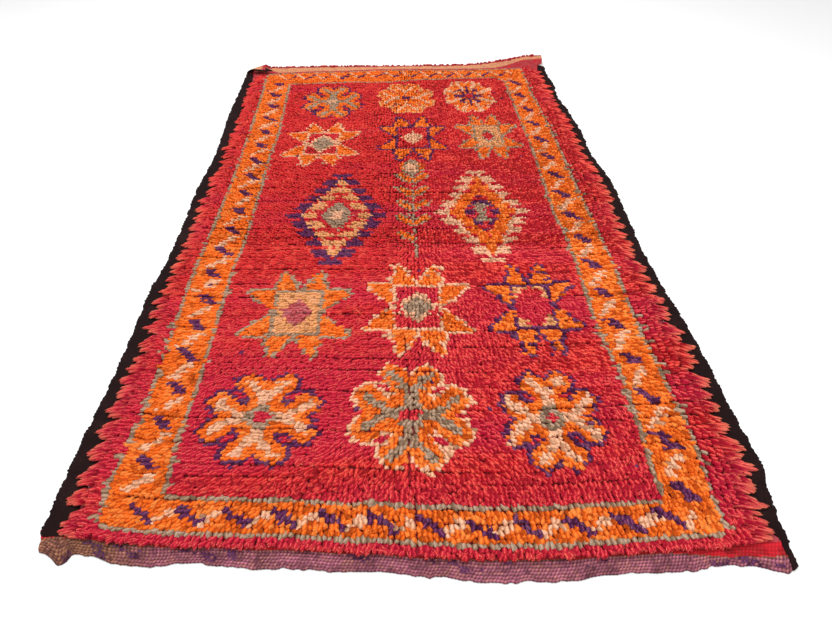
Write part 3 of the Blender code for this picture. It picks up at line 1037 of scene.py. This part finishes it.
class RUG_OT_knot_pile(bpy.types.Operator):
    """Knot the shaggy pile, row by row, from its chart"""
    bl_idname = "rug.knot_pile"
    bl_label = "Knot the Pile"

    def execute(self, context):
        return reported(self, lambda: self.knot(context.scene))

    def knot(self, scene):
        chance = np.random.default_rng(scene.rug_pile.seed)
        chart = knot_chart(chance)
        whole = knotted(chart, scene.rug_pile, chance)
        materials = yarn_materials(scene.rug_colours)
        made = 0
        for colour, name in enumerate(YARN_NAMES):
            knots = np.argwhere(chart.colour == colour)
            loose = knots[(chance.random(len(knots)) < LOOSE_SHARE) | (knots[:, 0] == 0)]
            again = np.r_[np.zeros(len(knots)), np.ones(len(loose))]
            knots = np.concatenate([knots, loose])
            for part, (form, lot) in enumerate(split_up(knots[:, 0])):
                title = "pile_{}_{}".format(name, part + 1)
                self.lot(title, whole, knots[lot], again[lot], form, chance, materials[colour])
                made += len(lot)
        self.locks(chance, materials[RED])
        self.edging(chance, materials[RED])
        return made

    def lot(self, title, whole, knots, again, form, chance, material):
        """One piece of tufts of one colour, in which a knot's second tuft is looser."""
        knot = Knots(*(part[knots[:, 0], knots[:, 1]] for part in whole))
        turn = knot.heading + again * chance.normal(0.0, 0.6, len(knots))
        reach = knot.reach * (1.0 + 0.15 * again)
        back = reach * ROOT_BACK
        aside = again * chance.normal(0.0, 0.003, len(knots))
        roots = np.stack([knot.across - back * np.sin(turn) + aside,
                          knot.along + back * np.cos(turn),
                          np.full(len(knots), ROOT_HIGH)], axis=-1)
        wide = knot.wide * (1.0 - 0.4 * again)
        high = knot.high * (1.0 + 0.24 * again)
        points = tufts(roots, turn, form, wide, reach, high, knot.twist)
        tone = np.clip(knot.tone + 0.25 * again, 0.0, 1.0)
        tuft_piece(title, points, form, tone, np.full(tone.shape, 0.15), material)

    def edging(self, chance, material):
        """Short red tufts that stick out, here and there, along the far end band's edge."""
        across = chance.uniform(-0.74, 0.76, 210)
        shape = across.shape
        along = read(FAR_END, "weave", across) - 0.006
        roots = np.stack([across, along, np.full(shape, 0.0034)], axis=-1)
        heading = math.pi + chance.normal(0.0, 0.55, shape)
        wide = chance.uniform(0.006, 0.011, shape)
        reach = chance.uniform(0.006, 0.0135, shape)
        high = chance.uniform(0.001, 0.004, shape)
        points = tufts(roots, heading, FAR_TUFT, wide, reach, high, np.zeros(shape))
        tone = chance.uniform(0.1, 0.8, shape)
        tuft_piece("far_edging", points, FAR_TUFT, tone, np.full(shape, 0.2), material)

    def locks(self, chance, material):
        """Long strands at the pile's rim, drawn together into locks over the edge bands."""
        self.side_locks("left", left_edge, 1.0, 0.031, 1.0, chance, material)
        self.side_locks("right", right_edge, -1.0, 0.026, 1.5, chance, material)

    def side_locks(self, side, edge, inward, least, faded, chance, material):
        """Locks of one side, each of some tips, and each tip of strands side by side.

        The left ones lie farther in and end more evenly towards the rug's far end.
        """
        tips = LOCKS_A_SIDE * TIPS_A_LOCK
        tip = np.repeat(np.arange(tips), STRANDS_A_TIP)
        lock = tip // TIPS_A_LOCK
        shape = tip.shape
        near = float(read(NEAR_END, "pile", -0.80 * inward))
        far = float(read(FAR_END, "pile", -0.80 * inward)) - 0.010
        sizes = chance.uniform(0.6, 1.4, LOCKS_A_SIDE)
        bounds = near + (far - near) * np.r_[0.0, np.cumsum(sizes)] / sizes.sum()
        half = (bounds[lock + 1] - bounds[lock]) / 2.0
        middle = bounds[lock] + half

        # Places of a tip in its lock and of a strand in its tip, as shares of their half widths
        tip_middle = (tip % TIPS_A_LOCK + 0.5) / TIPS_A_LOCK * 2.0 - 1.0
        tip_middle = tip_middle + chance.normal(0.0, 0.07, tips)[tip]
        within = np.tile(np.linspace(-1.0, 1.0, STRANDS_A_TIP), tips)
        beside = tip_middle + within / TIPS_A_LOCK

        # How far in from the rug's edge each strand ends, and where it is rooted
        even = ease((middle - 0.40) / 0.45) if inward > 0 else 0.0
        tip_in = mix(least, 0.046, even) + chance.uniform(-0.008, 0.008, LOCKS_A_SIDE)[lock]
        notch = mix(1.0, 0.25, even) * chance.uniform(0.022, 0.056, LOCKS_A_SIDE)[lock]
        end_in = tip_in + notch * np.clip(abs(beside), 0.0, 1.0) ** 2.3
        end_in += chance.normal(0.0, 0.0048, tips)[tip] * mix(1.0, 0.5, even)
        end_in += 0.0085 * abs(within) ** 1.5 + chance.normal(0.0, 0.0022, shape)
        end_in = np.maximum(end_in, 0.008)
        root_in = end_in + chance.uniform(0.024, 0.052, shape)
        root_in = np.maximum(root_in, chance.uniform(0.060, 0.104, shape))
        root_along = middle + beside * half * 1.08
        end_along = middle + (tip_middle * 0.86 + within * 0.10) * half - 0.010
        end_along += chance.normal(0.0, 0.0016, shape)
        root_across = edge(root_along) + inward * root_in
        end_across = edge(end_along) + inward * end_in

        heading = np.arctan2(end_across - root_across, root_along - end_along)
        reach = np.hypot(end_across - root_across, end_along - root_along)
        roots = np.stack([root_across, root_along, np.full(shape, 0.0030)], axis=-1)
        wide = 0.0120 + chance.normal(0.0, 0.0016, shape)
        high = 0.0084 + chance.normal(0.0, 0.0014, shape)
        twist = chance.normal(0.0, 0.003, shape)
        points = tufts(roots, heading, STRAND, wide, reach, high, twist)
        tone = chance.uniform(0.15, 0.95, shape)
        fade = mix(1.8, 0.6, ease((middle + 0.5) / 1.3)) * faded * chance.uniform(0.25, 1.0, shape)
        tuft_piece("locks_" + side, points, STRAND, tone, fade, material)


def split_up(rows):
    """Lots of tufts along the rug, small enough for one piece each, with their tufts' form."""
    lots = []
    for form, low, high in ((TUFT, 0, NEAR_ROWS), (FAR_TUFT, NEAR_ROWS, KNOT_ROWS)):
        picked = np.flatnonzero((rows >= low) & (rows < high))
        picked = picked[np.argsort(rows[picked], kind="stable")]
        count = math.ceil(len(picked) / MOST_TUFTS_A_PIECE)
        if count:
            lots += [(form, lot) for lot in np.array_split(picked, count)]
    return lots


def weave_material(colours):
    """The flat weave, as its knot backs show on the underside and its wefts at the ends."""
    shader = Shader("flat weave")
    across, along, _ = shader.stored("flat_place")
    place = shader.place()
    beads = (across * 480.0).sine() * (along * 620.0).sine()
    patch = shader.noise(place, 30.0, 3.0)
    backs = shader.blend(tuple(colours.rose), tuple(colours.crimson), patch)
    fibre = shader.noise(place, 700.0, 2.0)
    colour = shader.shade(backs, fibre * 0.5 + 0.75)
    return shader.finish(colour, 0.95 - fibre * 0.1, beads, 0.0015, sheen=0.1)


def end_band_material(name, first, second, third, fourth):
    """Weft beads of an end band, which mix four yarns as their stored shares say, with painted shade in
    the low gaps between the beads.
    """
    shader = Shader(name)
    tone, to_second, to_third = shader.stored("bead")
    place = shader.place()
    patch = shader.noise(place, 22.0, 3.0)
    fibre = shader.noise(place, 800.0, 2.0)
    colour = shader.blend(first, second, (to_second + patch * 0.5 - 0.25).between(0.0, 1.0))
    colour = shader.blend(colour, third, to_third.between(0.15, 0.75))
    colour = shader.blend(colour, fourth, to_second.between(1.2, 1.8))
    # Painted shade: the first stored number is low in the gaps between beads and high on their tops,
    # times each bead's own tone
    colour = shader.shade(colour, tone * 1.12 + fibre * 0.4 + 0.08)
    return shader.finish(colour, 0.95 - fibre * 0.1, fibre, 0.0008)


def bead_grid(beads, bead_rows):
    """Shares across and along a band of brick-laid beads, and how high each point stands.

    Each bead has a high point in its middle and low points round it.
    """
    columns = np.arange(2 * beads + 1)[None, :]
    rows = np.arange(2 * bead_rows + 1)[:, None]
    brick = (rows // 2) % 2
    bump = ((columns + brick) % 2 == 1) & (rows % 2 == 1)
    half = ((columns + brick) % 2 == 1) | (rows % 2 == 1)
    share = np.broadcast_to(columns / (2.0 * beads), bump.shape)
    down = np.broadcast_to(rows / (2.0 * bead_rows), bump.shape)
    return share, down, np.where(bump, 1.0, np.where(half, 0.42, 0.0))


def keep_twice(piece, name, first, second, third):
    """Keep three numbers for each point of a slab, the same on its top and bottom."""
    values = np.stack(np.broadcast_arrays(first, second, third), axis=-1).reshape(-1, 3)
    write_yarn(piece, name, np.concatenate([values, values]))


def cloth_left(along):
    """Left edge of the cloth beside the goat-hair band, which it covers on the turned corner."""
    outer = left_edge(along)
    beside = outer + read(SIDES, "left_band", along) + BAND_GAP
    turned = ease((past_crease(outer, along) - 0.004) / 0.020)
    return mix(beside, outer + FLAP_BAND_SHOWS, turned)


def cloth_right(along, over_band=0.0):
    """Right edge of the cloth beside the goat-hair band, or over a share of its width."""
    band = read(SIDES, "right_band", along) * (1.0 - over_band)
    return right_edge(along) - band - BAND_GAP


def weave_grid(columns):
    """Places over the whole flat weave, closer together at the lap and at the crease.

    The rows before the lap reach the rug's left side, in front of the edge band.
    """
    share = np.linspace(0.0, 1.0, columns)
    nominal = mix(GROUND_LEFT, GROUND_RIGHT, share)
    near = read(NEAR_END, "weave", nominal) + 0.005
    lap = read(NEAR_END, "pile", nominal)
    far = read(FAR_END, "weave", nominal)
    near_rows = 4
    rows = graded(near, (lap - LAP_LONG, near_rows), (lap, 1), (lap + 0.100, 8),
                  (CREASE_ROWS_FROM, 44), (far, 40))
    along = np.array(rows)
    past_lap = np.where(np.arange(len(rows)) > near_rows, 1.0, 0.0)[:, None]
    left = mix(left_edge(along), cloth_left(along), past_lap)
    return mix(left, cloth_right(along), share[None, :]), along


def graded(start, *stops):
    """Places from start to the last stop, each stop being (place, steps to it)."""
    rows = [start]
    for stop, steps in stops:
        before = rows[-1]
        rows += [mix(before, stop, step / steps) for step in range(1, steps + 1)]
    return rows


class RUG_OT_weave_ground(bpy.types.Operator):
    """Weave the thin ground cloth, and the bare band at each end"""
    bl_idname = "rug.weave_ground"
    bl_label = "Weave the Ground"

    def execute(self, context):
        return reported(self, lambda: self.weave(context.scene))

    def weave(self, scene):
        colours = scene.rug_colours
        across, along = weave_grid(72)
        bottom = np.where(past_crease(across, along) > 0.010, -0.0006, 0.0)
        ground = slab("ground_cloth", across, along, CLOTH_TOP, bottom, weave_material(colours))
        near = self.near_band(colours)
        far = self.far_band(colours)
        for piece in (ground, near, far):
            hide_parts("ground_weave")
        return ground

    def near_band(self, colours):
        """Weft beads of the near end band, over the cloth's end and under the pile."""
        share, down, bump = bead_grid(205, 9)
        shape = share.shape
        chance = np.random.default_rng(NEAR_BAND_SEED)
        tone = chance.random(shape)
        nominal = mix(GROUND_LEFT, GROUND_RIGHT, share)
        pile = read(NEAR_END, "pile", nominal)
        ragged = self.raggedness(share[0], chance) + 0.0014 * (bump[1] - 0.5)
        along = mix(read(NEAR_END, "weave", nominal), pile + 0.020, down)
        along = along + ragged[None, :] * (1.0 - down) ** 3
        across = mix(left_edge(along), cloth_right(along), share)

        # Violet beads come in clusters, denser at the outer edge
        cluster = np.sin(9.0 * across + 0.6) + np.sin(23.0 * across - 1.0)
        cluster += np.sin(5.0 * across + 90.0 * along)
        cluster = 0.03 + 0.50 * np.clip(cluster - 0.35, 0.0, 1.0) * (1.0 - 0.8 * down)
        patches = np.kron(chance.random((5, 69)), np.ones((4, 6)))[:shape[0], :shape[1]]
        violet = (patches < cluster) * bump * (chance.random(shape) < 0.8)
        tone = mix(tone, np.roll(patches, 3, axis=1), 0.4)

        # Brown is the band's left part and single beads; past 1 it stands for the strip's red
        brown = ease((-0.56 - across) / 0.16) * 0.9 + 0.25 * ease(np.sin(31.0 * across) - 0.4)
        fleck = bump * (chance.random(shape) < 0.30)
        brown = np.minimum(brown * (0.7 + 0.6 * tone) + 0.8 * fleck, 1.0)
        strip = mix(0.003, 0.034, ease((across - 0.50) / 0.32))
        by_pile = along > pile - strip
        brown = np.where(by_pile, 1.60 + 0.40 * tone, brown)
        tone = np.where(by_pile, 0.25 + 0.35 * tone, tone + 0.25 * fleck)
        worn = 0.30 * ease(np.sin(13.0 * across + 2.0) + np.sin(37.0 * across) - 0.2) * (1.0 - down)
        # Painted shade: each point's stored tone follows its height, dark in the gaps between beads,
        # times each bead's random tone
        bead = bump * (0.15 + 1.85 * tone) * (1.0 - worn) - 0.1
        bead = np.where(by_pile, 0.45 * bump + 0.40 * np.roll(patches, 5, axis=1), bead)

        beads_top = CLOTH_TOP + 0.0024 * bump * (0.8 + 0.4 * tone)
        top = np.where(along > pile + 0.003, UNDER_PILE_TOP, beads_top)
        strip_yarn = mix(np.array(colours.red), np.array(colours.rose), 0.25)
        material = end_band_material("near end weft", tuple(colours.mauve), tuple(colours.brown),
                                     tuple(colours.violet), tuple(strip_yarn))
        band = slab("near_end_band", across, along, top, BEADS_FOOT, material)
        keep_twice(band, "bead", bead, brown, violet)
        return band

    def raggedness(self, share, chance):
        """Uneven reach of the last weft at each place along a band's outer edge."""
        bends = chance.normal(0.0, 0.0017, 150)
        return np.interp(share, np.linspace(0.0, 1.0, len(bends)), bends)

    def far_band(self, colours):
        """Red, then peach wefts of the far end band, with a red edging."""
        share, down, bump = bead_grid(176, 13)
        chance = np.random.default_rng(FAR_BAND_SEED)
        tone = chance.random(share.shape)
        nominal = mix(GROUND_LEFT, GROUND_RIGHT, share)
        pile = read(FAR_END, "pile", nominal)
        stop = read(FAR_END, "weave", nominal) + self.raggedness(share[0], chance)[None, :]
        along = mix(pile - 0.012, stop, down)
        past_band = 0.8 * ease((along - RIGHT_BAND_STOPS) / 0.020)
        across = mix(cloth_left(along), cloth_right(along, past_band), share)
        edging = 0.017 + 2.0 * self.raggedness(share[0], chance)[None, :]
        strip = mix(0.036, 0.086, ease((across - 0.50) / 0.22))
        strip = mix(strip, 0.060, ease((-0.66 - across) / 0.05))
        red = (stop - along < edging) | (along - pile < strip)
        top = 0.0028 + 0.0018 * bump * (0.8 + 0.4 * tone)
        turned = past_crease(across, along) > 0.010
        bottom = np.where(turned, -0.0008 - 0.0012 * bump, BEADS_FOOT)
        material = end_band_material("far end weft", tuple(colours.straw), tuple(colours.rose),
                                     tuple(colours.red), tuple(colours.rose))
        band = slab("far_end_band", across, along, top, bottom, material)
        # Painted shade: the first stored number follows each point's height, dark in the gaps between
        # beads, times each bead's random tone
        keep_twice(band, "bead", bump * (0.45 + 0.75 * tone), red * 1.0, (tone > 0.7) * 0.7 * red)
        return band


def goat_material(colours):
    """Nearly black goat hair, with browner hairs that lie across the band."""
    shader = Shader("goat hair")
    place = shader.place()
    hair = shader.noise(shader.stretched(place, (0.25, 1.0, 1.0)), 620.0, 3.0, 0.6)
    patch = shader.noise(place, 14.0, 2.0)
    dark = tuple(colours.goat)
    brown = tuple(part * 3.2 for part in dark)
    colour = shader.blend(dark, brown, (hair * 0.8 + patch * 0.5 - 0.62).between(0.0, 0.4))
    return shader.finish(colour, 0.92 - hair * 0.1, hair, 0.0012)


class RUG_OT_bind_edges(bpy.types.Operator):
    """Weave the goat-hair edge bands along both long sides"""
    bl_idname = "rug.bind_edges"
    bl_label = "Bind the Edges"

    def execute(self, context):
        return reported(self, lambda: self.bind(context.scene))

    def bind(self, scene):
        material = goat_material(scene.rug_colours)
        left = float(read(NEAR_END, "pile", GROUND_LEFT))
        right = float(read(NEAR_END, "weave", GROUND_RIGHT))
        self.band("left", left_edge, 1.0, left, LEFT_BAND_STOPS, TAIL_LONG, material)
        self.band("right", right_edge, -1.0, right, RIGHT_BAND_STOPS, 0.0, material)
        return True

    def band(self, side, edge, inward, start, stop, tail, material):
        """One band: uneven on top, thin at its sides, with a tapering tail or rounded ends."""
        along = np.linspace(start, stop + tail, 560)[:, None]
        profile = np.array(BAND_PROFILE)[None, :]
        wide = read(SIDES, side + "_band", along)
        full = mix(1.0, TAIL_END_FULL, ease((along - stop) / tail)) if tail else 1.0
        inside = wide / 2.0 + (profile - 0.5) * wide * full
        if not tail:
            to_end = np.minimum(along - start, stop - along) / ROUNDED_BY
            rounded = 0.75 * wide * (1.0 - np.sqrt(1.0 - np.clip(1.0 - to_end, 0.0, 1.0) ** 2))
            inside = inside + rounded * (1.0 - profile)
        chance = np.random.default_rng(EDGE_BAND_SEED)
        wobble = chance.normal(0.0, 0.0015, along.shape) + 0.0011 * np.sin(along * 560.0)
        inside = inside + wobble * (1.0 - ease(profile / 0.3))
        across = edge(np.minimum(along, stop)) + inward * inside
        places = np.broadcast_to(along, across.shape)
        crown = 1.0 - np.abs(2.0 * profile - 1.0) ** 6
        ribs = chance.normal(0.0, 0.00055, across.shape)
        ribs += 0.0003 * np.sin(along * 210.0 + profile * 9.0)
        top = mix(EDGE_BAND_SIDE_HIGH, EDGE_BAND_THICK - 0.0004 + ribs, crown)
        bottom = EDGE_BAND_SIDE_HIGH * (1.0 - crown) * 0.6
        if inward < 0:
            across, places, top, bottom = (part[:, ::-1] for part in (across, places, top, bottom))
        piece = slab("goat_hair_" + side, across, places, top, bottom, material)
        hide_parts("edge_band_" + side)


def add_light(name, place, aim, size, power):
    """A soft square light, turned to a place."""
    data = bpy.data.lights.new(name, "AREA")
    data.size = size
    data.energy = power
    light = bpy.data.objects.new(name, data)
    light.location = place
    gap = [a - b for a, b in zip(aim, place)]
    level = math.hypot(gap[0], gap[1])
    light.rotation_euler = (math.atan2(level, -gap[2]), 0.0, math.atan2(-gap[0], gap[1]))
    bpy.context.scene.collection.objects.link(light)


class RUG_OT_set_stage(bpy.types.Operator):
    """Lay a pale floor, light it softly and stand the camera"""
    bl_idname = "rug.set_stage"
    bl_label = "Set the Stage"

    def execute(self, context):
        return reported(self, lambda: self.build(context.scene))

    def build(self, scene):
        stage = scene.rug_stage
        shader = Shader("floor")
        shade = shader.noise(shader.place(), 1.5, 2.0)
        colour = tuple(stage.floor_colour)
        shader.surface.inputs["Base Color"].default_value = (*colour, 1.0)
        shader.join(shader.surface, {"Roughness": shade * 0.1 + 0.7})
        corners = [(x * FLOOR_HALF, y * FLOOR_HALF, 0.0)
                   for x, y in ((-1, -1), (1, -1), (1, 1), (-1, 1))]
        data = bpy.data.meshes.new("floor")
        data.from_pydata(corners, [], [(0, 1, 2, 3)])
        data.materials.append(shader.material)
        floor = bpy.data.objects.new("floor", data)
        scene.collection.objects.link(floor)
        world = bpy.data.worlds.new("soft room")
        scene.world = world
        world.use_nodes = True
        background = world.node_tree.nodes["Background"]
        background.inputs["Color"].default_value = (1.0, 1.0, 1.0, 1.0)
        background.inputs["Strength"].default_value = 0.75
        add_light("key light", (-0.6, 1.0, 3.6), (0.0, 0.0, 0.0), 2.4, stage.light_power)
        add_light("front light", (0.8, -3.4, 2.6), (0.0, -0.4, 0.0), 2.0, stage.light_power * 0.4)
        camera_data = bpy.data.cameras.new("camera")
        camera_data.lens = stage.camera_lens
        camera_data.sensor_fit = "HORIZONTAL"
        camera_data.sensor_width = 36.0
        camera = bpy.data.objects.new("camera", camera_data)
        camera.location = stage.camera_place
        camera.rotation_euler = (math.radians(CAMERA_TILT), 0.0, math.radians(CAMERA_ASIDE))
        scene.collection.objects.link(camera)
        scene.camera = camera
        scene.view_settings.view_transform = "Standard"
        return camera


class RUG_PT_panel(bpy.types.Panel):
    """Buttons that make the rug, in order"""
    bl_idname = "RUG_PT_panel"
    bl_label = "Moroccan Rug"
    bl_space_type = "VIEW_3D"
    bl_region_type = "UI"
    bl_category = "Rug"

    def draw(self, context):
        for operator in OPERATORS:
            self.layout.operator(operator.bl_idname)


GROUPS = {"rug_colours": RugColours, "rug_pile": RugPile, "rug_stage": RugStage}
OPERATORS = (RUG_OT_weave_ground, RUG_OT_bind_edges, RUG_OT_knot_pile, RUG_OT_set_stage)
CLASSES = (*GROUPS.values(), *OPERATORS, RUG_PT_panel)


def register():
    for made in CLASSES:
        bpy.utils.register_class(made)
    for name, group in GROUPS.items():
        setattr(bpy.types.Scene, name, bpy.props.PointerProperty(type=group))


def unregister():
    for name in GROUPS:
        delattr(bpy.types.Scene, name)
    for made in reversed(CLASSES):
        bpy.utils.unregister_class(made)


def main():
    register()
    bpy.ops.rug.weave_ground()
    bpy.ops.rug.bind_edges()
    bpy.ops.rug.knot_pile()
    bpy.ops.rug.set_stage()
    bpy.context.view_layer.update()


if __name__ == "__main__":
    main()
